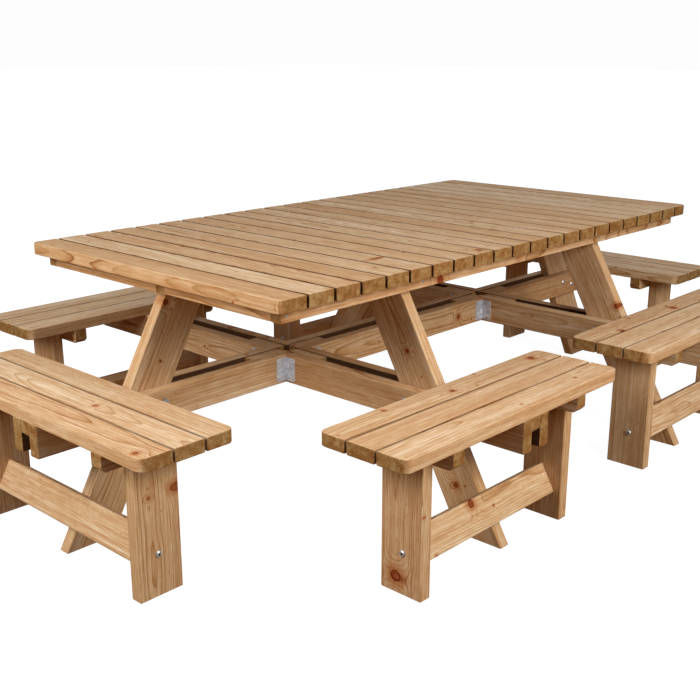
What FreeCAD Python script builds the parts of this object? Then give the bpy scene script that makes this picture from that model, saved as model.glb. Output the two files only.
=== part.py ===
import FreeCAD, Part

import math
import os

from FreeCAD import Vector

# A large wooden picnic table with six benches fixed to it.
# +X runs along the table, +Y across it, +Z up; the origin is on the ground under the middle.
# In the names, left is -X, right is +X, front is -Y and back is +Y.

# Timber sections
BOARD_WIDTH = 93.0
BOARD_THICKNESS = 38.0
LEG_WIDTH = 138.0
LEG_THICKNESS = 40.0
BEAM_DEPTH = 95.0
BEAM_THICKNESS = 40.0
STRETCHER_WIDTH = 95.0
BATTEN_WIDTH = 40.0
BEARER_WIDTH = 44.0
BEARER_HEIGHT = 48.0

# Tabletop
TABLE_HEIGHT = 782.0
TABLE_WIDTH = 1180.0
BOARD_COUNT = 22
BOARD_GROUPS = 4
BOARD_GAP = 9.0
FRAME_INSET = 40.0
CORNER_RADIUS = 26.0

# Crosses of double beams
CROSS_OFFSET = 544.0
BEAM_TOP = 422.0

# Splayed table legs
FOOT_REACH = 317.0

# Benches
SEAT_REACH = 400.0
SEAT_GAP = 7.0
BENCH_LEG_INSET = 64.0
SIDE_BENCH_LENGTH = 995.0
SIDE_BENCH_OFFSET = 600.0
SIDE_BENCH_LEG_SPAN = 707.0
END_BENCH_LENGTH = 1060.0
END_BENCH_LEG_SPAN = 800.0
STRETCHER_HEIGHT = 120.0
BEARER_BEVEL = 12.0
BEARER_END_ROOM = 1.0
MIDDLE_BEARER_END_ROOM = 6.0

# Fillers in the gaps of the double beams
SPACER_LENGTH = 140.0
SPACER_HEIGHT = 90.0
SPACER_START = 30.0

# Edge rounding
LONG_EDGE_RADIUS = 4.0
END_EDGE_RADIUS = 1.5
ROUNDED_END_RADIUS = 3.0
BEARER_EDGE_RADIUS = 2.0

# Steel parts
BRACKET_HEIGHT = 78.0
BRACKET_FLANGE = 43.0
BRACKET_THICKNESS = 2.5
BRACKET_HOLE_FROM_FOLD = 31.0
BRACKET_HOLE_FROM_END = 13.0
BRACKET_CORNER = 6.0
BRACKET_FOLD_RADIUS = 2.0
BOLT_DIAMETER = 10.0
BOLT_HEAD_DIAMETER = 20.0
BOLT_HEAD_HEIGHT = 5.0
BOLT_STUB = 3.0
WASHER_DIAMETER = 22.0
WASHER_THICKNESS = 2.0
NUT_WIDTH = 16.0
NUT_HEIGHT = 8.0
LAG_DIAMETER = 8.0
LAG_LENGTH = 110.0
LAG_HEAD_DIAMETER = 20.0
LAG_HEAD_HEIGHT = 4.0
LAG_HEAD_TOP_DIAMETER = 14.4
LAG_HEAD_RIM = 1.4
LAG_RECESS_WIDTH = 6.0
LAG_RECESS_DEPTH = 3.0
SCREW_DIAMETER = 5.0
SCREW_HEAD_DIAMETER = 9.5
SCREW_HEAD_HEIGHT = 4.0
SCREW_RECESS_WIDTH = 3.3
SCREW_RECESS_DEPTH = 2.4
SCREW_POINT_HEIGHT = 6.0
PAN_HEAD_HEIGHT = 3.0
DOME_STEPS = 5
BOARD_SCREW_LENGTH = 66.0
SEAT_SCREW_LENGTH = 74.0
FRAME_SCREW_LENGTH = 80.0
BRACKET_SCREW_LENGTH = 32.0
END_BOARD_SCREW_SHIFT = 8.0

# Where each beam-and-leg crossing is bolted: offset outward along the beam, offset up
CROSSING_BOLTS = [(-48.0, 9.0), (24.0, -9.0)]
# Where each leg head is bolted to its batten: distance inward from the frame's inner face
HEAD_BOLTS = [58.0, 130.0]

# Worked-out dimensions
BOARD_PITCH = BOARD_WIDTH + BOARD_GAP
TABLE_LENGTH = BOARD_COUNT * BOARD_WIDTH + (BOARD_COUNT - 1) * BOARD_GAP
BOARD_UNDERSIDE = TABLE_HEIGHT - BOARD_THICKNESS
FRAME_UNDERSIDE = BOARD_UNDERSIDE - BOARD_THICKNESS
FRAME_MIDDLE = (BOARD_UNDERSIDE + FRAME_UNDERSIDE) / 2
BEAM_UNDERSIDE = BEAM_TOP - BEAM_DEPTH
BEAM_MIDDLE = BEAM_TOP - BEAM_DEPTH / 2
HALF_GAP = LEG_THICKNESS / 2
HALF_PAIR = HALF_GAP + BEAM_THICKNESS
SEAT_PITCH = BOARD_WIDTH + SEAT_GAP
SEAT_WIDTH = 3 * BOARD_WIDTH + 2 * SEAT_GAP
SEAT_TOP = BEAM_TOP + BOARD_THICKNESS
FRAME_INNER = FRAME_INSET + BATTEN_WIDTH
SPLAY = math.atan((FOOT_REACH + FRAME_INNER) / FRAME_UNDERSIDE)
LEG_SECTION = LEG_WIDTH / math.cos(SPLAY)
CENTRE_BATTEN_Y = -HALF_GAP - BATTEN_WIDTH / 2

UP = Vector(0, 0, 1)
TOLERANCE = 0.001


def save(name, solids):
    """Write one node, either a single solid or a group of separate solids."""
    shape = solids[0] if len(solids) == 1 else Part.makeCompound(solids)
    shape.exportStep("parts/" + name + ".step")


def box(low, high):
    size = [high[i] - low[i] for i in range(3)]
    return Part.makeBox(size[0], size[1], size[2], Vector(*low))


def edges_along(shape, direction):
    """Straight edges of a shape that run along a direction."""
    found = []
    for edge in shape.Edges:
        run = edge.Vertexes[-1].Point - edge.Vertexes[0].Point
        if run.Length > TOLERANCE and run.normalize().cross(direction).Length < TOLERANCE:
            found.append(edge)
    return found


def level_edges(shape):
    """Edges whose two ends are at the same height."""
    return [edge for edge in shape.Edges if abs(edge.Vertexes[0].Z - edge.Vertexes[-1].Z) < TOLERANCE]


def stands_at(edge, places):
    """Whether an upright edge stands at one of some (x, y) places."""
    point = edge.Vertexes[0].Point
    return any(math.hypot(point.x - x, point.y - y) < TOLERANCE for x, y in places)


def lies_beyond(edge, distance):
    """Whether the middle of an edge is further out along X or Y than a distance."""
    return max(edge.CenterOfMass.x, edge.CenterOfMass.y) > distance


def end_edges(shape, direction):
    """Edges of the flat faces that close a timber at its two ends."""
    found = []
    for face in shape.Faces:
        flat = face.Surface.TypeId == "Part::GeomPlane"
        if flat and face.normalAt(0, 0).cross(direction).Length < TOLERANCE:
            found.extend(face.Edges)
    return found


def ease(shape, direction, ends=True):
    """Round the long arrises of a timber and, more finely, the arrises of its square ends."""
    shape = shape.makeFillet(LONG_EDGE_RADIUS, edges_along(shape, direction))
    if ends:
        shape = shape.makeFillet(END_EDGE_RADIUS, end_edges(shape, direction))
    return shape


def prism(points, depth):
    """Extrude a closed outline by a depth vector."""
    outline = Part.makePolygon(points + [points[0]])
    return Part.Face(outline).extrude(depth)


def timber(low, high, axis):
    """A straight timber with eased arrises, running along axis 0, 1 or 2."""
    direction = Vector(*[1 if i == axis else 0 for i in range(3)])
    return ease(box(low, high), direction)


def plank(low, high, axis, rounded):
    """A flat board whose vertical corners at the given plan points are well rounded."""
    solid = box(low, high)
    if not rounded:
        return timber(low, high, axis)
    corners = [edge for edge in edges_along(solid, UP) if stands_at(edge, rounded)]
    solid = solid.makeFillet(CORNER_RADIUS, corners)
    return solid.makeFillet(ROUNDED_END_RADIUS, level_edges(solid))


def turned(shape, quarter_turns):
    """Turn a shape about the vertical axis by quarter turns."""
    copy = shape.copy()
    copy.rotate(Vector(0, 0, 0), UP, 90 * quarter_turns)
    return copy


def moved(shape, x, y):
    copy = shape.copy()
    copy.translate(Vector(x, y, 0))
    return copy


# Fasteners. Each is built from its bearing point, pointing along a direction.

def bore(point, direction, length, diameter=SCREW_DIAMETER):
    return Part.makeCylinder(diameter / 2, length, point, direction)


def lathe(profile, point, direction):
    """Turn a profile of (radius, distance along the axis) points into a round solid."""
    points = [Vector(radius, 0, along) for radius, along in profile]
    outline = Part.makePolygon(points + [points[0]])
    solid = Part.Face(outline).revolve(Vector(0, 0, 0), UP, 360)
    solid.Placement = FreeCAD.Placement(point, FreeCAD.Rotation(UP, direction))
    return solid


def dome_profile(diameter, height):
    """Points of a low dome standing above the bearing surface, from its top to its rim."""
    sphere_radius = (diameter * diameter / 4 + height * height) / (2 * height)
    rim_angle = math.asin(diameter / 2 / sphere_radius)
    profile = []
    for i in range(DOME_STEPS + 1):
        angle = rim_angle * i / DOME_STEPS
        drop = sphere_radius * (1 - math.cos(angle))
        profile.append((sphere_radius * math.sin(angle), drop - height))
    return profile


def hexagon(point, direction, width, height):
    """A hexagonal prism of a width across its flats."""
    spin = FreeCAD.Rotation(UP, direction)
    radius = width / math.sqrt(3)
    corners = []
    for i in range(6):
        angle = math.radians(60 * i)
        corner = Vector(radius * math.cos(angle), radius * math.sin(angle), 0)
        corners.append(point + spin.multVec(corner))
    return prism(corners, direction * height)


def countersunk_screw(point, direction, length):
    """A countersunk wood screw whose head is flush with the surface at its point."""
    radius = SCREW_DIAMETER / 2
    profile = [
        (0, 0),
        (SCREW_HEAD_DIAMETER / 2, 0),
        (radius, SCREW_HEAD_HEIGHT),
        (radius, length - SCREW_POINT_HEIGHT),
        (0, length),
    ]
    recess = hexagon(point, direction, SCREW_RECESS_WIDTH, SCREW_RECESS_DEPTH)
    return lathe(profile, point, direction).cut(recess)


def screw_room(point, direction, length):
    """The space that a countersunk screw takes out of the timber."""
    radius = SCREW_DIAMETER / 2
    profile = [
        (0, 0),
        (SCREW_HEAD_DIAMETER / 2, 0),
        (radius, SCREW_HEAD_HEIGHT),
        (radius, length),
        (0, length),
    ]
    return lathe(profile, point, direction)


def through_bolt(point, direction, grip):
    """A dome-headed bolt with a washer and a nut, clamping timbers of a total thickness."""
    radius = BOLT_DIAMETER / 2
    washer_radius = WASHER_DIAMETER / 2
    washer_top = grip + WASHER_THICKNESS
    end = washer_top + NUT_HEIGHT + BOLT_STUB
    profile = dome_profile(BOLT_HEAD_DIAMETER, BOLT_HEAD_HEIGHT)
    profile += [
        (radius, 0),
        (radius, grip),
        (washer_radius, grip),
        (washer_radius, washer_top),
        (radius, washer_top),
        (radius, end),
        (0, end),
    ]
    nut = hexagon(point + direction * washer_top, direction, NUT_WIDTH, NUT_HEIGHT)
    return lathe(profile, point, direction).fuse(nut).removeSplitter()


def lag_bolt(point, direction):
    """A washer-headed wood bolt with a hexagonal recess, driven into end grain."""
    radius = LAG_DIAMETER / 2
    profile = [
        (0, -LAG_HEAD_HEIGHT),
        (LAG_HEAD_TOP_DIAMETER / 2, -LAG_HEAD_HEIGHT),
        (LAG_HEAD_DIAMETER / 2, -LAG_HEAD_RIM),
        (LAG_HEAD_DIAMETER / 2, 0),
        (radius, 0),
        (radius, LAG_LENGTH - radius),
        (0, LAG_LENGTH),
    ]
    top = point - direction * LAG_HEAD_HEIGHT
    recess = hexagon(top, direction, LAG_RECESS_WIDTH, LAG_RECESS_DEPTH)
    return lathe(profile, point, direction).cut(recess)


def pan_screw(point, direction):
    """A round-headed screw that holds a bracket; its point is on the bracket's face."""
    radius = SCREW_DIAMETER / 2
    profile = dome_profile(SCREW_HEAD_DIAMETER, PAN_HEAD_HEIGHT)
    profile += [
        (radius, 0),
        (radius, BRACKET_SCREW_LENGTH - SCREW_POINT_HEIGHT),
        (0, BRACKET_SCREW_LENGTH),
    ]
    return lathe(profile, point, direction)


# Tabletop

def board_left(index):
    """The X of a tabletop board's left side."""
    return -TABLE_LENGTH / 2 + index * BOARD_PITCH


def board_screw_points(index):
    """Where the screws of one tabletop board enter the three long battens from below."""
    x = board_left(index) + BOARD_WIDTH / 2
    furthest = TABLE_LENGTH / 2 - FRAME_INNER + END_BOARD_SCREW_SHIFT
    x = max(-furthest, min(furthest, x))
    edge = TABLE_WIDTH / 2 - FRAME_INSET - BATTEN_WIDTH / 2
    return [Vector(x, y, FRAME_UNDERSIDE) for y in (-edge, CENTRE_BATTEN_Y, edge)]


def tabletop_board(index):
    x = board_left(index)
    half = TABLE_WIDTH / 2
    rounded = []
    if index == 0:
        rounded = [(x, -half), (x, half)]
    if index == BOARD_COUNT - 1:
        rounded = [(x + BOARD_WIDTH, -half), (x + BOARD_WIDTH, half)]
    solid = plank((x, -half, BOARD_UNDERSIDE), (x + BOARD_WIDTH, half, TABLE_HEIGHT), 1, rounded)
    holes = [bore(point, UP, BOARD_SCREW_LENGTH) for point in board_screw_points(index)]
    return solid.cut(holes)


def frame_screw_places():
    """Screws through the edge battens into the ends of the battens that meet them."""
    places = []
    end_x = TABLE_LENGTH / 2 - FRAME_INSET - BATTEN_WIDTH / 2
    cross_x = CROSS_OFFSET - HALF_GAP - BATTEN_WIDTH / 2
    edge = TABLE_WIDTH / 2 - FRAME_INSET
    for x in (-end_x, -cross_x, cross_x, end_x):
        for side in (-1, 1):
            places.append((Vector(x, side * edge, FRAME_MIDDLE), Vector(0, -side, 0)))
    return places


def head_bolt_places():
    """Bolts that clamp each leg head to the batten beside it: point, direction."""
    places = []
    for side in (-1, 1):
        for inward in HEAD_BOLTS:
            x = side * (TABLE_LENGTH / 2 - FRAME_INNER - inward)
            y = CENTRE_BATTEN_Y - BATTEN_WIDTH / 2
            places.append((Vector(x, y, FRAME_MIDDLE), Vector(0, 1, 0)))
    for x_side in (-1, 1):
        start = x_side * (CROSS_OFFSET - HALF_GAP - BATTEN_WIDTH)
        for y_side in (-1, 1):
            for inward in HEAD_BOLTS:
                y = y_side * (TABLE_WIDTH / 2 - FRAME_INNER - inward)
                places.append((Vector(start, y, FRAME_MIDDLE), Vector(x_side, 0, 0)))
    return places


def holes_for(places, length, diameter):
    """Bores at a list of fastener places."""
    return [bore(point, direction, length, diameter) for point, direction in places]


def head_bolt_holes():
    return holes_for(head_bolt_places(), BATTEN_WIDTH + LEG_THICKNESS, BOLT_DIAMETER)


def screw_holes():
    room = [screw_room(p, d, FRAME_SCREW_LENGTH) for p, d in frame_screw_places()]
    for index in range(BOARD_COUNT):
        for point in board_screw_points(index):
            room.append(screw_room(point, UP, BOARD_SCREW_LENGTH))
    return room


def make_tabletop():
    inner = BOARD_COUNT - 2
    save("tabletop_end_board_left", [tabletop_board(0)])
    save("tabletop_end_board_right", [tabletop_board(BOARD_COUNT - 1)])
    for group in range(BOARD_GROUPS):
        first = 1 + group * inner // BOARD_GROUPS
        last = 1 + (group + 1) * inner // BOARD_GROUPS
        save("tabletop_boards_%d" % (group + 1), [tabletop_board(i) for i in range(first, last)])


def make_frame():
    end = TABLE_LENGTH / 2 - FRAME_INSET
    edge = TABLE_WIDTH / 2 - FRAME_INSET
    bottom = FRAME_UNDERSIDE
    top = BOARD_UNDERSIDE
    low_centre = CENTRE_BATTEN_Y - BATTEN_WIDTH / 2
    high_centre = CENTRE_BATTEN_Y + BATTEN_WIDTH / 2
    cuts = screw_holes() + head_bolt_holes()
    runs = {
        "frame_edge_batten_front": (-edge, -edge + BATTEN_WIDTH),
        "frame_edge_batten_back": (edge - BATTEN_WIDTH, edge),
        "frame_centre_batten": (low_centre, high_centre),
    }
    for name, (y0, y1) in runs.items():
        save(name, [timber((-end, y0, bottom), (end, y1, top), 0).cut(cuts)])
    cross = CROSS_OFFSET - HALF_GAP
    bays = {
        "frame_end_battens_left": -end,
        "frame_end_battens_right": end - BATTEN_WIDTH,
        "frame_cross_battens_left": -cross,
        "frame_cross_battens_right": cross - BATTEN_WIDTH,
    }
    halves = [(-edge + BATTEN_WIDTH, low_centre), (high_centre, edge - BATTEN_WIDTH)]
    for name, x in bays.items():
        solids = []
        for y0, y1 in halves:
            solids.append(timber((x, y0, bottom), (x + BATTEN_WIDTH, y1, top), 1).cut(cuts))
        save(name, solids)


# Splayed legs, beams and what joins them

def leg_outer(top_edge, height):
    """How far out a splayed leg's outer edge is at a height, for a given edge of the tabletop."""
    return top_edge + FOOT_REACH - height * math.tan(SPLAY)


def splayed_leg(top_edge):
    """A splayed leg that leans out along +X, in the plane Y = 0."""
    face = top_edge - FRAME_INNER
    outline = [
        (leg_outer(top_edge, 0), 0),
        (face, FRAME_UNDERSIDE),
        (face, BOARD_UNDERSIDE),
        (leg_outer(top_edge, BOARD_UNDERSIDE) - LEG_SECTION, BOARD_UNDERSIDE),
        (leg_outer(top_edge, 0) - LEG_SECTION, 0),
    ]
    points = [Vector(x, -HALF_GAP, z) for x, z in outline]
    solid = prism(points, Vector(0, LEG_THICKNESS, 0))
    lean = Vector(-math.sin(SPLAY), 0, math.cos(SPLAY))
    solid = solid.makeFillet(LONG_EDGE_RADIUS, edges_along(solid, lean))
    foot = [face for face in solid.Faces if abs(face.CenterOfMass.z) < TOLERANCE]
    return solid.makeFillet(END_EDGE_RADIUS, foot[0].Edges)


def arms():
    """The six splayed legs: name, tabletop edge, place of the leg's cross, quarter turns."""
    return [
        ("left", TABLE_LENGTH / 2, (0, 0), 2),
        ("right", TABLE_LENGTH / 2, (0, 0), 0),
        ("front_left", TABLE_WIDTH / 2, (-CROSS_OFFSET, 0), 3),
        ("front_right", TABLE_WIDTH / 2, (CROSS_OFFSET, 0), 3),
        ("back_left", TABLE_WIDTH / 2, (-CROSS_OFFSET, 0), 1),
        ("back_right", TABLE_WIDTH / 2, (CROSS_OFFSET, 0), 1),
    ]


def crossing_bolt_places():
    """Bolts that clamp each leg between its two beams: point, direction."""
    places = []
    for name, top_edge, (x, y), turns in arms():
        middle = leg_outer(top_edge, BEAM_MIDDLE) - LEG_SECTION / 2
        for out, rise in CROSSING_BOLTS:
            point = Vector(middle + out, -HALF_PAIR, BEAM_MIDDLE + rise)
            direction = Vector(0, 1, 0)
            spin = FreeCAD.Rotation(UP, 90 * turns)
            places.append((spin.multVec(point) + Vector(x, y, 0), spin.multVec(direction)))
    return places


def bracket_screw_places():
    """Screws of the corner brackets: point on the bracket's face, direction into the beam."""
    places = []
    fold = HALF_PAIR + BRACKET_THICKNESS
    across = HALF_PAIR + BRACKET_HOLE_FROM_FOLD
    low = BEAM_MIDDLE - BRACKET_HEIGHT / 2 + BRACKET_HOLE_FROM_END
    high = BEAM_MIDDLE + BRACKET_HEIGHT / 2 - BRACKET_HOLE_FROM_END
    for x in (-CROSS_OFFSET, CROSS_OFFSET):
        for turns in range(4):
            spin = FreeCAD.Rotation(UP, 90 * turns)
            for z in (low, high):
                one = (Vector(fold, across, z), Vector(-1, 0, 0))
                other = (Vector(across, fold, z), Vector(0, -1, 0))
                for point, direction in (one, other):
                    place_on_cross = spin.multVec(point) + Vector(x, 0, 0)
                    places.append((place_on_cross, spin.multVec(direction)))
    return places


def beam(start, end, side, end_mitre):
    """One beam along +X beside the gap. A mitred end is cut back by its distance from the middle."""
    points = []
    for across in (HALF_GAP, HALF_PAIR):
        points.append(Vector(start + across, side * across, BEAM_UNDERSIDE))
    for across in (HALF_PAIR, HALF_GAP):
        cut_back = across if end_mitre else 0
        points.append(Vector(end - cut_back, side * across, BEAM_UNDERSIDE))
    solid = prism(points, Vector(0, 0, BEAM_DEPTH))
    along = Vector(1, 0, 0)
    solid = solid.makeFillet(LONG_EDGE_RADIUS, edges_along(solid, along))
    if end_mitre:
        return solid
    return solid.makeFillet(END_EDGE_RADIUS, end_edges(solid, along))


def spacer():
    """A filler block in the gap of a pair of beams, beside the middle of a cross."""
    low = (SPACER_START, -HALF_GAP, BEAM_MIDDLE - SPACER_HEIGHT / 2)
    high = (SPACER_START + SPACER_LENGTH, HALF_GAP, BEAM_MIDDLE + SPACER_HEIGHT / 2)
    return timber(low, high, 0)


def corner_bracket():
    """An angle bracket in the corner between two pairs of beams, in the +X +Y quadrant."""
    base = BEAM_MIDDLE - BRACKET_HEIGHT / 2
    start = HALF_PAIR
    stop = start + BRACKET_FLANGE
    skin = start + BRACKET_THICKNESS
    outline = [(start, start), (stop, start), (stop, skin), (skin, skin), (skin, stop), (start, stop)]
    points = [Vector(x, y, base) for x, y in outline]
    solid = prism(points, Vector(0, 0, BRACKET_HEIGHT))
    ends = [edge for edge in level_edges(solid) if lies_beyond(edge, stop - TOLERANCE)]
    solid = solid.makeFillet(BRACKET_CORNER, ends)
    fold = [edge for edge in edges_along(solid, UP) if stands_at(edge, [(skin, skin)])]
    return solid.makeFillet(BRACKET_FOLD_RADIUS, fold)


def make_legs():
    cuts = head_bolt_holes() + holes_for(crossing_bolt_places(), 2 * HALF_PAIR, BOLT_DIAMETER)
    for name, top_edge, (x, y), turns in arms():
        leg = moved(turned(splayed_leg(top_edge), turns), x, y)
        save("table_leg_" + name, [leg.cut(cuts)])


def make_beams():
    cuts = holes_for(crossing_bolt_places(), 2 * HALF_PAIR, BOLT_DIAMETER)
    cuts += holes_for(bracket_screw_places(), BRACKET_SCREW_LENGTH, SCREW_DIAMETER)
    long_end = TABLE_LENGTH / 2 + SEAT_REACH
    short_end = TABLE_WIDTH / 2 + SEAT_REACH
    outer = [beam(CROSS_OFFSET, long_end, side, False) for side in (-1, 1)]
    middle = [beam(-CROSS_OFFSET, CROSS_OFFSET, side, True) for side in (-1, 1)]
    across = [beam(0, short_end, side, False) for side in (-1, 1)]
    save("long_beams_right", [solid.cut(cuts) for solid in outer])
    save("long_beams_left", [turned(solid, 2).cut(cuts) for solid in outer])
    save("long_beams_middle", [solid.cut(cuts) for solid in middle])
    for x_name, x in (("left", -CROSS_OFFSET), ("right", CROSS_OFFSET)):
        for y_name, turns in (("front", 3), ("back", 1)):
            solids = [moved(turned(solid, turns), x, 0).cut(cuts) for solid in across]
            save("cross_beams_%s_%s" % (y_name, x_name), solids)


def make_crosses():
    for name, x in (("left", -CROSS_OFFSET), ("right", CROSS_OFFSET)):
        blocks = [moved(turned(spacer(), turns), x, 0) for turns in range(4)]
        save("spacer_blocks_" + name, blocks)
        cuts = holes_for(bracket_screw_places(), BRACKET_SCREW_LENGTH, SCREW_DIAMETER)
        brackets = [moved(turned(corner_bracket(), turns), x, 0).cut(cuts) for turns in range(4)]
        save("corner_brackets_" + name, brackets)


# Benches. Each is built with its length along X and its outer side towards -Y.

def bench_boards(length, outer):
    solids = []
    for row in range(3):
        y = outer + row * SEAT_PITCH
        ends = (-length / 2, length / 2)
        rounded = []
        if row == 0:
            rounded = [(x, y) for x in ends]
        if row == 2:
            rounded = [(x, y + BOARD_WIDTH) for x in ends]
        low = (-length / 2, y, BEAM_TOP)
        high = (length / 2, y + BOARD_WIDTH, SEAT_TOP)
        solids.append(plank(low, high, 0, rounded))
    return solids


def bench_legs(leg_span, outer):
    solids = []
    for side in (-1, 1):
        x0 = side * leg_span / 2 - (LEG_THICKNESS if side > 0 else 0)
        low = (x0, outer + BENCH_LEG_INSET, 0)
        high = (x0 + LEG_THICKNESS, outer + BENCH_LEG_INSET + LEG_WIDTH, BEAM_TOP)
        solids.append(timber(low, high, 2))
    return solids


def bearer(x, width, y0, y1):
    """A bearer across the bench under its boards, its lower corners bevelled at both ends."""
    bottom = BEAM_TOP - BEARER_HEIGHT
    outline = [
        (y0, BEAM_TOP),
        (y0, bottom + BEARER_BEVEL),
        (y0 + BEARER_BEVEL, bottom),
        (y1 - BEARER_BEVEL, bottom),
        (y1, bottom + BEARER_BEVEL),
        (y1, BEAM_TOP),
    ]
    points = [Vector(x - width / 2, y, z) for y, z in outline]
    solid = prism(points, Vector(width, 0, 0))
    return solid.makeFillet(BEARER_EDGE_RADIUS, edges_along(solid, Vector(0, 1, 0)))


def bearer_centres(leg_span, gap_x):
    """X of the three bearers: one inside each leg and one between the beams."""
    beside_leg = leg_span / 2 - LEG_THICKNESS - BEARER_WIDTH / 2
    return [-beside_leg, gap_x, beside_leg]


def bench_bearers(leg_span, outer, gap_x):
    inner = outer + SEAT_WIDTH
    solids = []
    for x in bearer_centres(leg_span, gap_x):
        between_beams = x == gap_x
        width = 2 * HALF_GAP if between_beams else BEARER_WIDTH
        room = MIDDLE_BEARER_END_ROOM if between_beams else BEARER_END_ROOM
        solids.append(bearer(x, width, outer + BEARER_END_ROOM, inner - room))
    return solids


def bench_stretcher(leg_span, outer, top_edge):
    """The board between the legs, lying on the outer edge of the splayed table leg."""
    half = leg_span / 2 - LEG_THICKNESS
    lean = Vector(0, math.sin(SPLAY), math.cos(SPLAY))
    out = Vector(0, -math.cos(SPLAY), math.sin(SPLAY))
    on_leg = Vector(-half, -leg_outer(top_edge, STRETCHER_HEIGHT), STRETCHER_HEIGHT)
    middle = on_leg - lean * (LEG_THICKNESS / 2 * math.tan(SPLAY))
    low = middle - lean * (STRETCHER_WIDTH / 2)
    high = middle + lean * (STRETCHER_WIDTH / 2)
    thickness = out * LEG_THICKNESS
    solid = prism([low, high, high + thickness, low + thickness], Vector(2 * half, 0, 0))
    solid = ease(solid, Vector(1, 0, 0), ends=False)
    return solid, middle + thickness / 2


def lag_places(leg_span, bolt_point):
    places = []
    for side in (-1, 1):
        point = Vector(side * leg_span / 2, bolt_point.y, bolt_point.z)
        places.append((point, Vector(-side, 0, 0)))
    return places


def seat_screw_points(leg_span, outer, gap_x):
    """Where the screws from below enter the bearers, one under each seat board."""
    points = []
    for x in bearer_centres(leg_span, gap_x):
        for row in range(3):
            y = outer + row * SEAT_PITCH + BOARD_WIDTH / 2
            points.append(Vector(x, y, BEAM_TOP - BEARER_HEIGHT))
    return points


def place(shape, spot):
    """Put a bench piece at its spot: shift along its own length, then turn about the middle."""
    x, turns = spot
    return turned(moved(shape, x, 0), turns)


def make_benches():
    lag_bolts = []
    seat_screws = []
    side_edge = TABLE_WIDTH / 2
    end_edge = TABLE_LENGTH / 2
    side = (SIDE_BENCH_LENGTH, SIDE_BENCH_LEG_SPAN, side_edge)
    end = (END_BENCH_LENGTH, END_BENCH_LEG_SPAN, end_edge)
    shift = SIDE_BENCH_OFFSET - CROSS_OFFSET
    benches = [
        ("front_left", side, (-SIDE_BENCH_OFFSET, 0), shift),
        ("front_right", side, (SIDE_BENCH_OFFSET, 0), -shift),
        ("back_left", side, (SIDE_BENCH_OFFSET, 2), -shift),
        ("back_right", side, (-SIDE_BENCH_OFFSET, 2), shift),
        ("end_left", end, (0, 3), 0),
        ("end_right", end, (0, 1), 0),
    ]
    for name, (length, leg_span, top_edge), spot, gap_x in benches:
        outer = -(top_edge + SEAT_REACH)
        stretcher, bolt_point = bench_stretcher(leg_span, outer, top_edge)
        lags = lag_places(leg_span, bolt_point)
        screws = seat_screw_points(leg_span, outer, gap_x)
        lag_holes = holes_for(lags, LAG_LENGTH, LAG_DIAMETER)
        screw_cuts = [screw_room(point, UP, SEAT_SCREW_LENGTH) for point in screws]
        boards = [solid.cut(screw_cuts) for solid in bench_boards(length, outer)]
        legs = [solid.cut(lag_holes) for solid in bench_legs(leg_span, outer)]
        bearers = [solid.cut(screw_cuts) for solid in bench_bearers(leg_span, outer, gap_x)]
        save("bench_%s_seat" % name, [place(solid, spot) for solid in boards])
        save("bench_%s_legs" % name, [place(solid, spot) for solid in legs])
        save("bench_%s_bearers" % name, [place(solid, spot) for solid in bearers])
        save("bench_%s_stretcher" % name, [place(stretcher.cut(lag_holes), spot)])
        lag_bolts += [place(lag_bolt(point, direction), spot) for point, direction in lags]
        new_screws = [countersunk_screw(point, UP, SEAT_SCREW_LENGTH) for point in screws]
        seat_screws += [place(screw, spot) for screw in new_screws]
    save("stretcher_bolts", lag_bolts)
    save("seat_screws", seat_screws)


def make_table_fasteners():
    crossing = [through_bolt(p, d, 2 * HALF_PAIR) for p, d in crossing_bolt_places()]
    head = [through_bolt(p, d, BATTEN_WIDTH + LEG_THICKNESS) for p, d in head_bolt_places()]
    save("beam_bolts", crossing)
    save("leg_head_bolts", head)
    save("bracket_screws", [pan_screw(p, d) for p, d in bracket_screw_places()])
    screws = [countersunk_screw(p, d, FRAME_SCREW_LENGTH) for p, d in frame_screw_places()]
    for index in range(BOARD_COUNT):
        for point in board_screw_points(index):
            screws.append(countersunk_screw(point, UP, BOARD_SCREW_LENGTH))
    save("tabletop_screws", screws)


os.makedirs("parts", exist_ok=True)
make_tabletop()
make_frame()
make_legs()
make_beams()
make_crosses()
make_benches()
make_table_fasteners()
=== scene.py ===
import math
import random

import bpy
import numpy as np
from mathutils import Matrix, Vector


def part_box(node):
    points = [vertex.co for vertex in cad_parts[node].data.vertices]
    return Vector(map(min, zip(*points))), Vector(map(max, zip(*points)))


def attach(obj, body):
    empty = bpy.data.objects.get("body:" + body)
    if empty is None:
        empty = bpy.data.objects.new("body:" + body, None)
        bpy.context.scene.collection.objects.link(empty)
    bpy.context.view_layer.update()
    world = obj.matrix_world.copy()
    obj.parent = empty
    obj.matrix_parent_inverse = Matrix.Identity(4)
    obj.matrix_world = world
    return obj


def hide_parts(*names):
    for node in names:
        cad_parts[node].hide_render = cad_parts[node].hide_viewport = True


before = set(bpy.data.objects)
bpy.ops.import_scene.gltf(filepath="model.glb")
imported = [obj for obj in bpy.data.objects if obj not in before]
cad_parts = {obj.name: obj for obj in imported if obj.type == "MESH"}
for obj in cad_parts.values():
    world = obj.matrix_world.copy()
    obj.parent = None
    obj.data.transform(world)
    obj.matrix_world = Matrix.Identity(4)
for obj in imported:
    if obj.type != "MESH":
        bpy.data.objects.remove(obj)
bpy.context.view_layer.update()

# A large picnic table of solid softwood with six fixed benches.
# Each timber node is shown by a copy of its mesh that knows how every board was cut from its log,
# so that one solid-wood material gives matching faces, edges, end grain and knots.

ROOT = "root"

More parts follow.
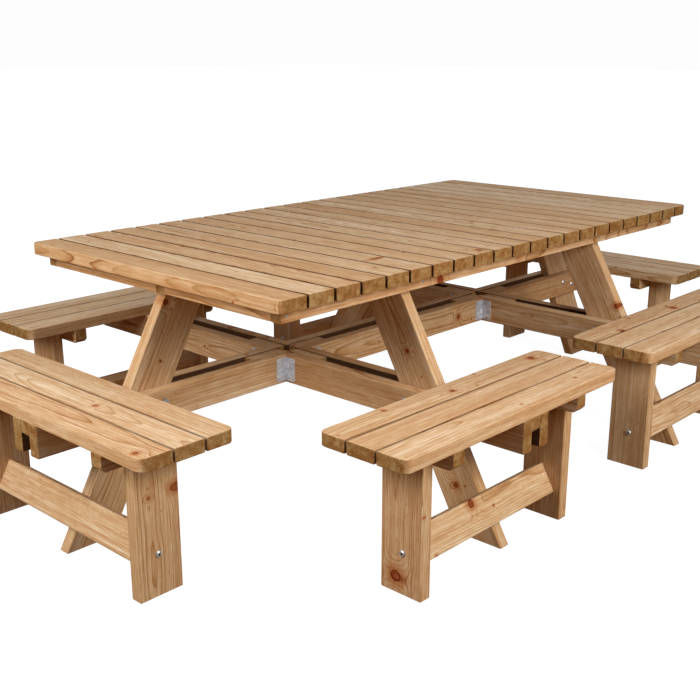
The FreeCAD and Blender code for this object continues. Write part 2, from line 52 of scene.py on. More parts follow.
# Nodes made of sawn timber, by the start of their names
TIMBER_STARTS = (
    "tabletop_end_board",
    "tabletop_boards",
    "frame_",
    "table_leg",
    "long_beams",
    "cross_beams",
    "spacer_blocks",
    "bench_",
)
BRACKET_START = "corner_brackets"
TABLETOP_START = "tabletop_"
SEAT_END = "_seat"
PAIRED_STARTS = ("long_beams_", "cross_beams_")

# Camera, in metres, degrees and millimetres of lens
CAMERA_PLACE = (-2.8097, -2.4105, 1.3894)
CAMERA_AZIMUTH = -46.93
CAMERA_PITCH = 16.49
CAMERA_LENS = 52.65
SENSOR_WIDTH = 36.0

# Studio: round softboxes, dim light from above and below, pale floor and walls
SOFTBOX_SIZE = 1.8
SOFTBOX_AIM = (0, 0, 0.4)
SOFTBOX_COLOUR = (1.0, 0.975, 0.86)
# Name, place, power, and whether its reflection shows
SOFTBOXES = (
    ("front_softbox", (-0.5, -3.4, 2.1), 104, True),
    ("left_softbox", (-3.4, 0.0, 2.1), 83, True),
    ("back_softbox", (2.9, 2.9, 1.2), 38, False),
)
CEILING_LIGHT = (0.50, 0.61, 0.77, 1)
WALL_LIGHT = (0.05, 0.05, 0.05, 1)
FLOOR_LIGHT = (0.17, 0.095, 0.045, 1)
CEILING_START, CEILING_FULL = 0.15, 0.95
FLOOR_REACH = 60.0
FLOOR_DEPTH = 0.002
STUDIO_WALL_HEIGHT = 30.0
FLOOR_GREY = 0.22
FLOOR_GREY_RANGE = 0.02
FLOOR_PATCHES = (1.5, 3.0)
FLOOR_TINT = (0.98, 0.95)
FLOOR_GLOW = 0.95
FLOOR_GLOW_COLOUR = (0.985, 0.99, 1, 1)

# How boards are cut from logs: shares of the boards, shift and depths in metres, and how far to the
# side the pith can lie as a share of the width
LOG_SHIFT = 40.0
FLAT_SAWN_SHARE = 0.48
NEAR_PITH_SHARE = 0.6
NEAR_PITH_DEPTH = (0.012, 0.06)
FAR_PITH_DEPTH = (0.05, 0.10)
NEAR_PITH_SIDE, FAR_PITH_SIDE = 0.35, 0.2
# The share of branches that show as knots
FLAT_SAWN_KNOTS, QUARTER_SAWN_KNOTS = 0.50, 0.12

# Reading a board's directions from its mesh. The direction is one that no face lies along,
# so that opposite faces can be counted together.
WELDS_PER_METRE = 1e5
LEAST_AREA = 1e-15
SLANTED_DIRECTION = (1.0, 1.7, 2.9)
SQUARE_ENOUGH = 0.1

# How squarely a surface faces, from none to full end grain, and from none to full painted shade where it
# looks into a gap
END_FACING = (0.45, 0.90)
PAINTED_GAP_SHADE_FACING = (0.35, 0.90)
# A side this near the outside of a deck or pair, in metres, faces no gap and gets no painted shade
GAP_EDGE = 0.03
# Seats get this share of the painted shade in the gaps
SEAT_PAINTED_GAP_SHADE = 0.6

# The most noticeable knots: node and board, then size (0 small to 2 large), the face that shows it
# (1 or -1 a wide face, 2 or -2 a narrow one), and its place along and across that face from the middle,
# in metres. These places aren't chosen by hand: a separate program worked them out from where the
# knots were seen in the photograph, and its results were copied here.
KNOTS = {
    ("bench_front_left_legs", 0): (2, 1, -0.163, 0.017),
    ("bench_front_left_seat", 2): (1, -1, -0.015, 0.007),
    ("bench_front_left_stretcher", 0): (1, -1, -0.057, -0.040),
    ("bench_end_left_seat", 1): (0, -1, 0.125, 0.001),
    ("bench_end_left_legs", 0): (0, -1, 0.075, -0.027),
    ("bench_front_right_seat", 1): (1, -1, -0.311, 0.041),
    ("table_leg_left", 0): (1, -1, -0.310, 0.046),
    ("table_leg_front_left", 0): (1, 1, -0.168, -0.004),
    ("table_leg_front_right", 0): (1, 1, -0.084, 0.051),
    ("frame_edge_batten_front", 0): (1, 2, -0.421, 0.004),
    ("long_beams_middle", 0): (1, -1, 0.329, -0.002),
    ("tabletop_boards_1", 1): (0, -1, -0.170, -0.039),
}


# Shader building

class Graph:
    """Adds and links shader nodes in one tree. Any input may be a value or another node's output."""

    def __init__(self, tree):
        self.tree = tree
        self.tree.nodes.clear()

    def feed(self, socket, value):
        if isinstance(value, bpy.types.NodeSocket):
            self.tree.links.new(value, socket)
        else:
            socket.default_value = value

    def node(self, kind, settings=None, inputs=None):
        node = self.tree.nodes.new(kind)
        for name, value in (settings or {}).items():
            setattr(node, name, value)
        for name, value in (inputs or {}).items():
            self.feed(node.inputs[name], value)
        return node

    def math(self, operation, *values):
        node = self.node("ShaderNodeMath", {"operation": operation})
        for socket, value in zip(node.inputs, values):
            self.feed(socket, value)
        return node.outputs[0]

    def product(self, *values):
        result = values[0]
        for value in values[1:]:
            result = self.math("MULTIPLY", result, value)
        return result

    def hypotenuse(self, a, b):
        return self.math("SQRT", self.math("MULTIPLY_ADD", a, a, self.math("MULTIPLY", b, b)))

    def varied(self, base, amount, noise):
        """A base value pushed up and down by a noise around its middle."""
        return self.math("MULTIPLY_ADD", self.math("SUBTRACT", noise, 0.5), amount, base)

    def vector(self, x, y, z):
        return self.node("ShaderNodeCombineXYZ", None, {"X": x, "Y": y, "Z": z}).outputs[0]

    def parts(self, vector):
        return self.node("ShaderNodeSeparateXYZ", None, {"Vector": vector}).outputs

    def channels(self, colour):
        return list(self.node("ShaderNodeSeparateColor", None, {"Color": colour}).outputs)[:3]

    def vector_math(self, operation, *values):
        node = self.node("ShaderNodeVectorMath", {"operation": operation})
        for socket, value in zip(node.inputs, values):
            self.feed(socket, value)
        return node.outputs[0]

    def noise(self, vector, scale, detail=2.0, roughness=0.5):
        """Smooth noise from 0 to 1 around a middle of 0.5."""
        inputs = {"Vector": vector, "Scale": scale, "Detail": detail, "Roughness": roughness}
        return self.node("ShaderNodeTexNoise", None, inputs).outputs["Fac"]

    def grain_noise(self, grain, lengthwise, crosswise, detail, roughness):
        """Noise stretched along the fibres, with its two scales in cycles a metre."""
        stretched = self.vector_math("MULTIPLY", grain, (lengthwise, crosswise, crosswise))
        return self.noise(stretched, 1.0, detail, roughness)

    def step(self, value, low, high, out_low=0.0, out_high=1.0):
        """A smooth step between two levels."""
        node = self.node("ShaderNodeMapRange", {"interpolation_type": "SMOOTHSTEP"})
        for socket, number in zip(node.inputs, (value, low, high, out_low, out_high)):
            self.feed(socket, number)
        return node.outputs[0]

    def mix(self, factor, a, b, blend="MIX"):
        node = self.node("ShaderNodeMix", {"data_type": "RGBA", "blend_type": blend})
        self.feed(node.inputs[0], factor)
        self.feed(node.inputs[6], a)
        self.feed(node.inputs[7], b)
        return node.outputs[2]

    def shaded(self, colour, share, shade):
        """A colour darkened by a shade where the share is high."""
        return self.mix(share, colour, (*shade, 1), "MULTIPLY")

    def number_attribute(self, name):
        return self.node("ShaderNodeAttribute", {"attribute_name": name}).outputs["Fac"]

    def bump(self, strength, distance, height):
        inputs = {"Strength": strength, "Distance": distance, "Height": height}
        return self.node("ShaderNodeBump", None, inputs).outputs[0]

    def surface(self, **inputs):
        shader = self.node("ShaderNodeBsdfPrincipled")
        for name, value in inputs.items():
            self.feed(shader.inputs[name.replace("_", " ")], value)
        output = self.node("ShaderNodeOutputMaterial")
        self.tree.links.new(shader.outputs[0], output.inputs["Surface"])


def new_material(name):
    material = bpy.data.materials.new(name)
    material.use_nodes = True
    return material, Graph(material.node_tree)


# Solid wood

# Colour is light that has passed through pigment: the fresh tint to the power of the pigment's density
FRESH_TINT = (0.63, 0.418, 0.247)
RED_TINT = (0.62, 0.355, 0.200)
DENSITY = 1.10
LEAST_DENSITY = 0.45
LATEWOOD_DENSITY = 1.25
LATEWOOD_SHADE = (0.78, 0.80, 0.80)
END_SHADE = (0.50, 0.41, 0.24)
# Painted shade on board sides that look into the gaps between boards and between paired beams
PAINTED_GAP_SHADE = (0.15, 0.10, 0.07)

# Patterns: cycles a metre along and across the fibres, detail, roughness
FIBRES = (15.0, 430.0, 3.0, 0.6)
STREAKS = (2.4, 150.0, 3.0, 0.6)
BANDS = (0.9, 24.0, 2.0, 0.5)
BLOTCHES = (20.0, 46.0, 4.0, 0.65)
SPECKS = (75.0, 150.0, 2.0, 0.5)
SPECK_LEVELS = (0.68, 0.78)
SLOW_WAVES = (1.5, 10.0, 2.0, 0.5)
QUICK_WAVES = (8.0, 55.0, 2.0, 0.5)

# How much each pattern moves the density
FIBRE_AMOUNT = 1.35
STREAK_AMOUNT = 1.50
BAND_AMOUNT = 0.60
BLOTCH_AMOUNT = 0.70
BOARD_AMOUNT = 0.32
END_BLOTCH_AMOUNT = 2.6
SPECK_DENSITY = 0.8

# Growth rings: the pith and rings in metres or cycles a metre, the years in years or cycles a year
PITH_WANDER = 0.022
PITH_WANDER_SCALE = 1.7
PITH_WANDER_DETAIL = 1.5
RING_WIDTH = 0.0038
RING_SLOW_WAVE = 0.0065
RING_QUICK_WAVE = 0.0011
LOG_TAPER = -0.007
YEARS_VARIATION = 3.2
YEARS_VARIATION_SCALE = 0.21
WEATHER_SEED, YEAR_SEED = 37.0, 91.0

# The latewood of one year: a sharp dark line over a faint haze, which ends with the year
LINE_SHARPNESS = 8.0
LINE_STRENGTH = 0.95
HAZE_STRENGTH = 0.16
YEAR_END = (0.94, 1.0)
STRONG_YEAR_FALL = 1.5
STRONG_YEAR_EXTRA, WEAK_YEAR = 1.1, 0.35

# How far the rings bulge round a knot, and how fast the bulge fades
KNOT_BULGE = 0.016
KNOT_BULGE_FALL = -0.17

# Knots: branches run out from the pith, so their size is a share of the distance from it
KNOT_CELL_LENGTH = 0.34
KNOT_CELL_ANGLE = 1.0
KNOT_MAX_RADIUS = 0.085
KNOT_LEAST_SPREAD = 0.035
KNOT_EXTRA_SPREAD = 0.13
KNOT_SMALLNESS = 4.0
KNOT_SCATTER = 0.9
NO_KNOT = 50.0
PLACED_KNOT_SPACING = 5.0
PLACED_KNOT_START = 100.0
PLACED_KNOT_SPREADS = (0.055, 0.10, 0.19)
# Where a knot's edge, rim and halo begin and end: 0 is its middle, 1 its edge
KNOT_EDGE_WAVE = 0.34
KNOT_EDGE_SCALE = 150.0
KNOT_EDGE = (0.88, 1.04)
KNOT_RIM = (0.60, 0.95)
KNOT_HALO = (0.9, 2.8)
KNOT_RING_RATE = 19.0
KNOT_RING_DENSITY = 0.25
KNOT_DENSITY = 0.95
KNOT_DENSITY_RANGE = 0.9
KNOT_RIM_DENSITY = 1.4
KNOT_HALO_DENSITY = 0.45
KNOT_HALO_REDNESS = 0.75
BOARD_REDNESS = 0.22

# The surface: latewood and fibres stand up, knot rims lie lower
LATEWOOD_RELIEF, FIBRE_RELIEF, KNOT_RIM_RELIEF = 0.6, 0.5, -0.5
WOOD_BUMP = (0.4, 0.0006)
WOOD_ROUGHNESS, WOOD_ROUGHNESS_RANGE = 0.72, 0.12
WOOD_SPECULAR = 0.22


def log_place(g, grain):
    """Where a point lies in its log: along it, out from the wandering pith, and round it."""
    along, across, deep = g.parts(grain)
    inputs = {"W": along, "Scale": PITH_WANDER_SCALE, "Detail": PITH_WANDER_DETAIL}
    bend = g.node("ShaderNodeTexNoise", {"noise_dimensions": "1D"}, inputs).outputs["Color"]
    shift = g.channels(bend)
    across = g.varied(across, PITH_WANDER, shift[0])
    deep = g.varied(deep, PITH_WANDER, shift[1])
    return along, g.hypotenuse(across, deep), g.math("ARCTAN2", across, deep)


def scattered_knots(g, along, radius, angle, knotty):
    """Branches spread over the log: a point's distance as a share of the branch's size, and a chance."""
    cell_along = g.math("DIVIDE", along, KNOT_CELL_LENGTH)
    cell_angle = g.math("DIVIDE", angle, KNOT_CELL_ANGLE)
    settings = {"voronoi_dimensions": "2D", "feature": "F1"}
    inputs = {"Vector": g.vector(cell_along, cell_angle, 0.0), "Scale": 1.0, "Randomness": KNOT_SCATTER}
    cell = g.node("ShaderNodeTexVoronoi", settings, inputs)
    centre = g.parts(cell.outputs["Position"])
    chance = g.channels(cell.outputs["Color"])
    d_along = g.math("MULTIPLY_ADD", centre[0], -KNOT_CELL_LENGTH, along)
    d_angle = g.math("MULTIPLY_ADD", centre[1], -KNOT_CELL_ANGLE, angle)
    distance = g.hypotenuse(d_along, g.math("MULTIPLY", d_angle, radius))
    largeness = g.math("POWER", chance[1], KNOT_SMALLNESS)
    spread = g.math("MULTIPLY_ADD", largeness, KNOT_EXTRA_SPREAD, KNOT_LEAST_SPREAD)
    size = g.math("MULTIPLY", spread, g.math("MINIMUM", radius, KNOT_MAX_RADIUS))
    missing = g.math("GREATER_THAN", chance[0], knotty)
    share = g.math("MULTIPLY_ADD", missing, NO_KNOT, g.math("DIVIDE", distance, size))
    return share, chance[2]


def placed_knots(g, along, radius, angle):
    """One branch at each of a few known places along the log, from small to large."""
    shares = []
    for index, spread in enumerate(PLACED_KNOT_SPREADS):
        centre = PLACED_KNOT_START + index * PLACED_KNOT_SPACING
        distance = g.hypotenuse(g.math("SUBTRACT", along, centre), g.math("MULTIPLY", angle, radius))
        shares.append(g.math("DIVIDE", distance, g.math("MULTIPLY", radius, spread)))
    nearest = shares[0]
    for share in shares[1:]:
        nearest = g.math("MINIMUM", nearest, share)
    return nearest


def growth_rings(g, grain, tone, along, radius, share):
    """How dark the latewood is at a point; the rings bulge outwards round each knot."""
    bulge = g.math("EXPONENT", g.product(share, share, KNOT_BULGE_FALL))
    slow = g.grain_noise(grain, *SLOW_WAVES)
    quick = g.grain_noise(grain, *QUICK_WAVES)
    ring = g.math("ADD", radius, g.math("MULTIPLY", bulge, KNOT_BULGE))
    ring = g.math("MULTIPLY_ADD", slow, RING_SLOW_WAVE, ring)
    ring = g.math("MULTIPLY_ADD", quick, RING_QUICK_WAVE, ring)
    ring = g.math("MULTIPLY_ADD", along, LOG_TAPER, ring)
    count = g.math("DIVIDE", ring, RING_WIDTH)

    # Wide and narrow years, then a strong or weak line at the end of each year
    place = g.math("MULTIPLY", count, YEARS_VARIATION_SCALE)
    weather = g.vector(place, g.math("MULTIPLY", tone, WEATHER_SEED), 0.0)
    count = g.math("MULTIPLY_ADD", g.noise(weather, 1.0, 1.0), YEARS_VARIATION, count)
    phase = g.math("FRACT", count)
    year = g.vector(g.math("FLOOR", count), g.math("MULTIPLY", tone, YEAR_SEED), 0.0)
    white_noise = g.node("ShaderNodeTexWhiteNoise", {"noise_dimensions": "2D"}, {"Vector": year})
    strength = g.math("POWER", white_noise.outputs["Value"], STRONG_YEAR_FALL)
    haze = g.product(phase, phase, HAZE_STRENGTH)
    line = g.math("MULTIPLY_ADD", g.math("POWER", phase, LINE_SHARPNESS), LINE_STRENGTH, haze)
    fall = g.step(phase, *YEAR_END, 1.0, 0.0)
    late = g.product(line, fall, g.math("MULTIPLY_ADD", strength, STRONG_YEAR_EXTRA, WEAK_YEAR))
    return g.math("MINIMUM", late, 1.0)


def clear_wood_density(g, grain, tone, endness, late, fibre):
    """Pigment in the rings, along the fibres, from place to place and from board to board."""
    streak = g.grain_noise(grain, *STREAKS)
    band = g.grain_noise(grain, *BANDS)
    blotch = g.grain_noise(grain, *BLOTCHES)
    speck = g.step(g.grain_noise(grain, *SPECKS), *SPECK_LEVELS)
    density = g.math("MULTIPLY_ADD", late, LATEWOOD_DENSITY, DENSITY)
    density = g.varied(density, FIBRE_AMOUNT, fibre)
    density = g.varied(density, STREAK_AMOUNT, streak)
    density = g.varied(density, BAND_AMOUNT, band)
    density = g.varied(density, BLOTCH_AMOUNT, blotch)
    density = g.varied(density, BOARD_AMOUNT, tone)
    density = g.varied(density, g.math("MULTIPLY", endness, END_BLOTCH_AMOUNT), blotch)
    density = g.math("MULTIPLY_ADD", speck, SPECK_DENSITY, density)
    return g.math("MAXIMUM", density, LEAST_DENSITY)


def add_knots(g, grain, density, share, chance):
    """The density with the knots in it, their dark rims, and the red halo round them."""
    edge = g.varied(share, KNOT_EDGE_WAVE, g.noise(grain, KNOT_EDGE_SCALE))
    inside = g.step(edge, *KNOT_EDGE, 1.0, 0.0)
    rim = g.math("MULTIPLY", inside, g.step(edge, *KNOT_RIM))
    halo = g.step(edge, *KNOT_HALO, 1.0, 0.0)
    wave = g.math("SINE", g.math("MULTIPLY", edge, KNOT_RING_RATE))
    rings = g.math("MULTIPLY_ADD", wave, KNOT_RING_DENSITY, KNOT_DENSITY)
    rings = g.varied(rings, KNOT_DENSITY_RANGE, chance)
    density = g.math("MULTIPLY_ADD", halo, KNOT_HALO_DENSITY, density)
    density = g.math("MULTIPLY_ADD", inside, rings, density)
    density = g.math("MULTIPLY_ADD", rim, KNOT_RIM_DENSITY, density)
    return density, rim, halo


def make_timber():
    material, g = new_material("solid_softwood")
    grain = g.node("ShaderNodeAttribute", {"attribute_name": "grain"}).outputs["Vector"]
    tone, redness, knotty, endness, painted_gap_shade = (
        g.number_attribute(name) for name in ("tone", "redness", "knotty", "endness", "painted_gap_shade"))
    along, radius, angle = log_place(g, grain)
    scattered, chance = scattered_knots(g, along, radius, angle, knotty)
    share = g.math("MINIMUM", scattered, placed_knots(g, along, radius, angle))
    late = growth_rings(g, grain, tone, along, radius, share)
    fibre = g.grain_noise(grain, *FIBRES)
    density = clear_wood_density(g, grain, tone, endness, late, fibre)
    density, rim, halo = add_knots(g, grain, density, share, chance)

    knot_red = g.math("MULTIPLY", halo, KNOT_HALO_REDNESS)
    red = g.math("ADD", g.math("MULTIPLY", redness, BOARD_REDNESS), knot_red)
    tint = g.mix(g.math("MINIMUM", red, 1.0), (*FRESH_TINT, 1), (*RED_TINT, 1))
    wood = g.vector(*[g.math("POWER", channel, density) for channel in g.channels(tint)])
    wood = g.shaded(wood, late, LATEWOOD_SHADE)
    wood = g.shaded(wood, endness, END_SHADE)
    # Painted shade where a board's side looks into a gap
    wood = g.shaded(wood, painted_gap_shade, PAINTED_GAP_SHADE)

    relief = g.math("MULTIPLY_ADD", late, LATEWOOD_RELIEF, g.math("MULTIPLY", fibre, FIBRE_RELIEF))
    relief = g.math("MULTIPLY_ADD", rim, KNOT_RIM_RELIEF, relief)
    dryness = g.math("SUBTRACT", fibre, late)
    roughness = g.math("MULTIPLY_ADD", dryness, WOOD_ROUGHNESS_RANGE, WOOD_ROUGHNESS)
    g.surface(Base_Color=wood, Roughness=roughness, Normal=g.bump(*WOOD_BUMP, relief),
              Specular_IOR_Level=WOOD_SPECULAR)
    return material


# Metals

# Noises and cells have scales in cycles a metre, then detail and roughness; a bump has its strength
# and its height in metres; a tint has how much greener and bluer than red the grey is
CRYSTAL_SCALE = 105.0
CRYSTAL_BEND, CRYSTAL_BEND_SCALE = 0.010, 60.0
CRYSTAL_GREY, CRYSTAL_GREY_RANGE = 0.52, 0.26
CRYSTAL_ROUGHNESS, CRYSTAL_ROUGHNESS_RANGE = 0.36, 0.22
CRYSTAL_BUMP = (0.2, 0.0003)
GRIME = (32.0, 4.0, 0.6)
GRIME_AMOUNT = 0.55
GALVANISED_TINT = (1.05, 1.22)
GALVANISED_METALLIC = 0.35

DULLNESS = (420.0, 3.0, 0.6)
PLATING_GREY, PLATING_GREY_RANGE = 0.62, 0.22
PLATING_PATCHES = (90.0, 2.0)
PLATING_PATCH_AMOUNT = 0.25
PLATING_ROUGHNESS, PLATING_ROUGHNESS_RANGE = 0.30, 0.25
PLATING_BUMP = (0.15, 0.0002)
PLATING_TINT = (1.02, 1.10)
PLATING_METALLIC = 0.8

# Painted shade in recesses: how far it is felt, in metres, the openness from darkest to full colour, and the
# share of the colour left where it is darkest
PAINTED_RECESS_REACH = 0.007
PAINTED_RECESS_OPENNESS = (0.50, 0.90)
PAINTED_RECESS_SHADE = 0.03


def tinted_grey(g, shade, green, blue):
    return g.vector(shade, g.math("MULTIPLY", shade, green), g.math("MULTIPLY", shade, blue))


def make_galvanised_steel():
    """Hot-dipped zinc: large dull crystals of slightly different greys."""
    material, g = new_material("galvanised_steel")
    place = g.node("ShaderNodeTexCoord").outputs["Object"]
    inputs = {"Vector": place, "Scale": CRYSTAL_BEND_SCALE, "Detail": 1.0}
    wavy = g.node("ShaderNodeTexNoise", None, inputs).outputs["Color"]
    bent = g.vector_math("MULTIPLY_ADD", wavy, (CRYSTAL_BEND,) * 3, place)
    cell = g.node("ShaderNodeTexVoronoi", None, {"Vector": bent, "Scale": CRYSTAL_SCALE})
    crystal = g.channels(cell.outputs["Color"])
    shade = g.math("MULTIPLY_ADD", crystal[0], CRYSTAL_GREY_RANGE, CRYSTAL_GREY)
    shade = g.varied(shade, GRIME_AMOUNT, g.noise(place, *GRIME))
    roughness = g.math("MULTIPLY_ADD", crystal[1], CRYSTAL_ROUGHNESS_RANGE, CRYSTAL_ROUGHNESS)
    g.surface(Base_Color=tinted_grey(g, shade, *GALVANISED_TINT), Roughness=roughness,
              Metallic=GALVANISED_METALLIC, Normal=g.bump(*CRYSTAL_BUMP, crystal[2]))
    return material


def make_zinc_fasteners():
    """Zinc plating with dull patches, and painted shade in its recesses."""
    material, g = new_material("zinc_plated_fasteners")
    place = g.node("ShaderNodeTexCoord").outputs["Object"]
    dull = g.noise(place, *DULLNESS)
    shade = g.math("MULTIPLY_ADD", dull, PLATING_GREY_RANGE, PLATING_GREY)
    shade = g.varied(shade, PLATING_PATCH_AMOUNT, g.noise(place, *PLATING_PATCHES))
    # Painted shade: the colour darkens where nearby surfaces close in, as in bolt-head recesses
    openness = g.node("ShaderNodeAmbientOcclusion", {"samples": 8}, {"Distance": PAINTED_RECESS_REACH}).outputs["AO"]
    shade = g.math("MULTIPLY", shade, g.step(openness, *PAINTED_RECESS_OPENNESS, PAINTED_RECESS_SHADE, 1.0))
    roughness = g.math("MULTIPLY_ADD", dull, PLATING_ROUGHNESS_RANGE, PLATING_ROUGHNESS)
    g.surface(Base_Color=tinted_grey(g, shade, *PLATING_TINT), Roughness=roughness,
              Metallic=PLATING_METALLIC, Normal=g.bump(*PLATING_BUMP, dull))
    return material


# Boards

def mesh_arrays(mesh):
    """The vertices' places and the triangles' corners."""
    points = np.zeros(len(mesh.vertices) * 3)
    mesh.vertices.foreach_get("co", points)
    mesh.calc_loop_triangles()
    corners = np.zeros(len(mesh.loop_triangles) * 3, dtype=int)
    mesh.loop_triangles.foreach_get("vertices", corners)
    return points.reshape(-1, 3), corners.reshape(-1, 3)


def solid_labels(points, triangles):
    """A number for each vertex, the same for all vertices of one separate solid."""
    steps = np.round(points * WELDS_PER_METRE).astype(int)
    joined = np.unique(steps, axis=0, return_inverse=True)[1].reshape(-1)
    labels = np.arange(joined.max() + 1)
    welded = joined[triangles]
    while True:
        lowest = labels[welded].min(axis=1)
        new = labels.copy()
        for column in range(3):
            np.minimum.at(new, welded[:, column], lowest)
        new = new[new]
        if np.array_equal(new, labels):
            break
        labels = new
    return labels[joined]


def board_axes(points, triangles):
    """The directions along, across and through one straight board, from its largest faces."""
    a, b, c = (points[triangles[:, i]] for i in range(3))
    cross = np.cross(b - a, c - a)
    area = np.linalg.norm(cross, axis=1)
    normals = cross / np.maximum(area, LEAST_AREA)[:, None]
    side_of = np.sign(normals @ np.array(SLANTED_DIRECTION))
    keys = np.round(np.round(normals, 2) * side_of[:, None], 2) + 0.0
    sizes = {}
    for key, size, normal in zip(map(tuple, keys), area, normals):
        total, first = sizes.get(key, (0.0, normal))
        sizes[key] = (total + size, first)
    ranked = sorted(sizes.values(), key=lambda entry: -entry[0])
    through = ranked[0][1]
    side = next(normal for total, normal in ranked if abs(normal @ through) < SQUARE_ENOUGH)
    along = np.cross(side, through)
    along /= np.linalg.norm(along)
    return along, np.cross(through, along), through


def cut_from_log(rng, width, thickness):
    """Where the pith lies below a board: across and through it."""
    if rng.random() < NEAR_PITH_SHARE:
        side, depth = NEAR_PITH_SIDE, NEAR_PITH_DEPTH
    else:
        side, depth = FAR_PITH_SIDE, FAR_PITH_DEPTH
    return rng.uniform(-side, side) * width, -thickness / 2 - rng.uniform(*depth)


def board_grain(rng, local, size, knot):
    """Places in the log for the points of one board, given in its own length, width and thickness."""
    width, thickness = size[1], size[2]
    flat_sawn = rng.random() < FLAT_SAWN_SHARE if knot is None else abs(knot[1]) == 1
    if not flat_sawn:
        local = local[:, [0, 2, 1]]
        width, thickness = thickness, width
    across, through = cut_from_log(rng, width, thickness)
    flip = rng.choice((-1, 1))
    shift = rng.uniform(-LOG_SHIFT, LOG_SHIFT)
    if knot is not None:
        kind, face, knot_along, across = knot
        flip = 1 if face > 0 else -1
        shift = PLACED_KNOT_START + kind * PLACED_KNOT_SPACING - knot_along
    grain = local * (1, 1, flip) - (0, across, through)
    grain[:, 0] += shift
    return grain, FLAT_SAWN_KNOTS if flat_sawn else QUARTER_SAWN_KNOTS


def group_box(node_name):
    """The middle and half size of the deck or pair of boards that a node belongs to, if any."""
    if node_name.startswith(TABLETOP_START):
        members = [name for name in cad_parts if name.startswith(TABLETOP_START)]
    elif node_name.endswith(SEAT_END) or node_name.startswith(PAIRED_STARTS):
        members = [node_name]
    else:
        return None
    corners = np.array([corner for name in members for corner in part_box(name)])
    low, high = corners.min(axis=0), corners.max(axis=0)
    return (low + high) / 2, (high - low) / 2


def facing_a_gap(points, direction, middle, half):
    """A board's direction, kept only where its side looks at another board of the group, for the painted
    shade in the gap.
    """
    inside = np.abs((points - middle) @ direction) < np.abs(half @ direction) - GAP_EDGE
    return inside[:, None] * direction


def facing_share(mesh, directions, low, high):
    """How squarely each corner's surface faces along its vertex's direction, as a ramp from 0 to 1."""
    normals = np.zeros(len(mesh.loops) * 3)
    mesh.corner_normals.foreach_get("vector", normals)
    vertex_of = np.zeros(len(mesh.loops), dtype=int)
    mesh.loops.foreach_get("vertex_index", vertex_of)
    facing = np.abs(np.sum(normals.reshape(-1, 3) * directions[vertex_of], axis=1))
    return np.clip((facing - low) / (high - low), 0, 1)


def store(mesh, name, kind, domain, values):
    field = "vector" if kind == "FLOAT_VECTOR" else "value"
    mesh.attributes.new(name, kind, domain).data.foreach_set(field, values.astype(np.float32).reshape(-1))


def give_grain(mesh, node_name):
    """Store each vertex's place in its log, and how much each corner shows end grain or gets painted shade
    for lying in a gap.
    """
    points, triangles = mesh_arrays(mesh)
    labels = solid_labels(points, triangles)
    count = len(points)
    grain = np.zeros((count, 3))
    values = {name: np.zeros(count) for name in ("tone", "redness", "knotty")}
    lengthwise, sideways = np.zeros((count, 3)), np.zeros((count, 3))
    group = group_box(node_name)
    found = sorted(set(labels), key=lambda label: tuple(np.round(points[labels == label].mean(axis=0), 3)))
    for index, label in enumerate(found):
        rng = random.Random("%s/%d" % (node_name, index))
        mine = labels == label
        axes = np.array(board_axes(points, triangles[mine[triangles[:, 0]]]))
        local = points[mine] @ axes.T
        low, high = local.min(axis=0), local.max(axis=0)
        knot = KNOTS.get((node_name, index))
        grain[mine], knotty = board_grain(rng, local - (low + high) / 2, high - low, knot)
        values["tone"][mine] = rng.random()
        values["redness"][mine] = rng.random()
        values["knotty"][mine] = knotty
        lengthwise[mine] = axes[0]
        if group is not None:
            between = axes[2] if node_name.startswith(PAIRED_STARTS) else axes[1]
            sideways[mine] = facing_a_gap(points[mine], between, *group)
    store(mesh, "grain", "FLOAT_VECTOR", "POINT", grain)
    for name, numbers in values.items():
        store(mesh, name, "FLOAT", "POINT", numbers)
    # Painted shade on sides that look into a gap, weaker on the seats
    shade = SEAT_PAINTED_GAP_SHADE if node_name.endswith(SEAT_END) else 1.0
    store(mesh, "endness", "FLOAT", "CORNER", facing_share(mesh, lengthwise, *END_FACING))
    store(mesh, "painted_gap_shade", "FLOAT", "CORNER", shade * facing_share(mesh, sideways, *PAINTED_GAP_SHADE_FACING))


def set_material(piece, material):
    piece.data.materials.clear()
    piece.data.materials.append(material)


def show_timber(node_name, material):
    """A copy of one timber node's boards, with its grain, in place of the plain node."""
    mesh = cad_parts[node_name].data.copy()
    piece = bpy.data.objects.new(node_name + "_wood", mesh)
    bpy.context.scene.collection.objects.link(piece)
    give_grain(mesh, node_name)
    set_material(piece, material)
    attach(piece, ROOT)
    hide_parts(node_name)


def dress_object():
    wood = make_timber()
    galvanised = make_galvanised_steel()
    zinc = make_zinc_fasteners()
    for name, node in sorted(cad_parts.items()):
        if name.startswith(TIMBER_STARTS):
            show_timber(name, wood)
        elif name.startswith(BRACKET_START):
            set_material(node, galvanised)
        else:
            set_material(node, zinc)


# Studio

def make_floor_material():
    material, g = new_material("pale_floor")
    place = g.node("ShaderNodeTexCoord").outputs["Object"]
    shade = g.math("MULTIPLY_ADD", g.noise(place, *FLOOR_PATCHES), FLOOR_GREY_RANGE, FLOOR_GREY)
    g.surface(Base_Color=tinted_grey(g, shade, *FLOOR_TINT), Roughness=0.9, Specular_IOR_Level=0.0,
              Emission_Color=FLOOR_GLOW_COLOUR, Emission_Strength=FLOOR_GLOW)
    return material


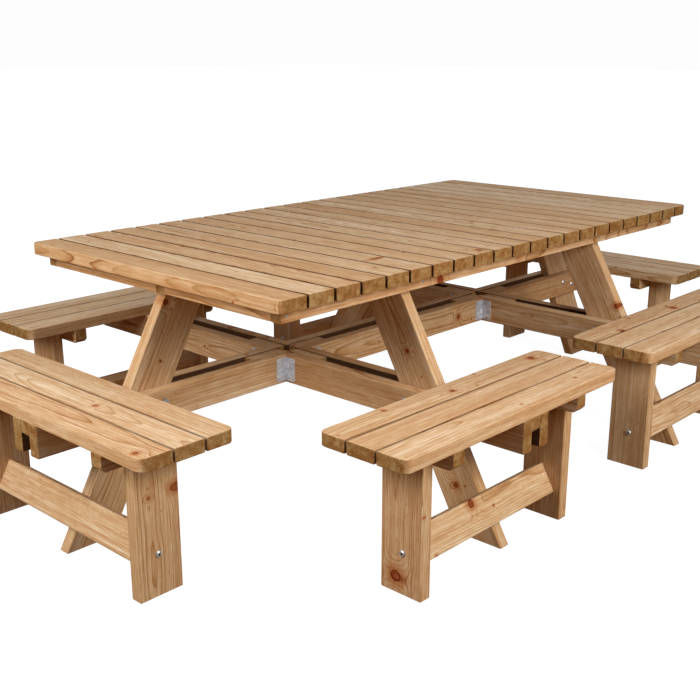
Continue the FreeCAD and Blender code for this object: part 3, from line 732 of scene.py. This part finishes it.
def make_floor():
    """A pale floor and walls that glow a little and light nothing; the world does that."""
    mesh = bpy.data.meshes.new("studio_floor")
    reach = FLOOR_REACH
    outline = [(-reach, -reach), (reach, -reach), (reach, reach), (-reach, reach)]
    corners = [(x, y, z) for z in (-FLOOR_DEPTH, STUDIO_WALL_HEIGHT) for x, y in outline]
    walls = [(i, (i + 1) % 4, (i + 1) % 4 + 4, i + 4) for i in range(4)]
    mesh.from_pydata(corners, [], [(0, 1, 2, 3)] + walls)
    floor = bpy.data.objects.new("studio_floor", mesh)
    bpy.context.scene.collection.objects.link(floor)
    floor.visible_diffuse = False
    floor.visible_glossy = False
    floor.visible_shadow = False
    set_material(floor, make_floor_material())


def make_softbox(name, place, power, reflected):
    light = bpy.data.lights.new(name, "AREA")
    light.shape = "DISK"
    light.size = SOFTBOX_SIZE
    light.energy = power
    light.color = SOFTBOX_COLOUR
    softbox = bpy.data.objects.new(name, light)
    softbox.location = place
    softbox.rotation_euler = (Vector(SOFTBOX_AIM) - Vector(place)).to_track_quat("-Z", "Y").to_euler()
    softbox.visible_glossy = reflected
    bpy.context.scene.collection.objects.link(softbox)


def make_world():
    """Dim light from the floor, darkness round the walls, soft light from above."""
    world = bpy.data.worlds.new("studio_world")
    world.use_nodes = True
    g = Graph(world.node_tree)
    height = g.parts(g.node("ShaderNodeTexCoord").outputs["Generated"])[2]
    colour = g.mix(g.step(height, CEILING_START, CEILING_FULL), WALL_LIGHT, CEILING_LIGHT)
    colour = g.mix(g.math("LESS_THAN", height, 0.0), colour, FLOOR_LIGHT)
    background = g.node("ShaderNodeBackground", None, {"Color": colour, "Strength": 1.0})
    output = g.node("ShaderNodeOutputWorld")
    g.tree.links.new(background.outputs[0], output.inputs["Surface"])
    bpy.context.scene.world = world


def make_studio():
    make_floor()
    make_world()
    for softbox in SOFTBOXES:
        make_softbox(*softbox)
    bpy.context.scene.view_settings.view_transform = "Standard"


def make_camera():
    data = bpy.data.cameras.new("camera")
    data.sensor_width = SENSOR_WIDTH
    data.lens = CAMERA_LENS
    camera = bpy.data.objects.new("camera", data)
    azimuth, pitch = math.radians(CAMERA_AZIMUTH), math.radians(CAMERA_PITCH)
    level = math.cos(pitch)
    back = Vector((math.sin(azimuth) * level, -math.cos(azimuth) * level, math.sin(pitch)))
    right = Vector((math.cos(azimuth), math.sin(azimuth), 0))
    turn = Matrix((right, back.cross(right), back)).transposed().to_4x4()
    camera.matrix_world = Matrix.Translation(CAMERA_PLACE) @ turn
    bpy.context.scene.collection.objects.link(camera)
    bpy.context.scene.camera = camera


dress_object()
make_studio()
make_camera()
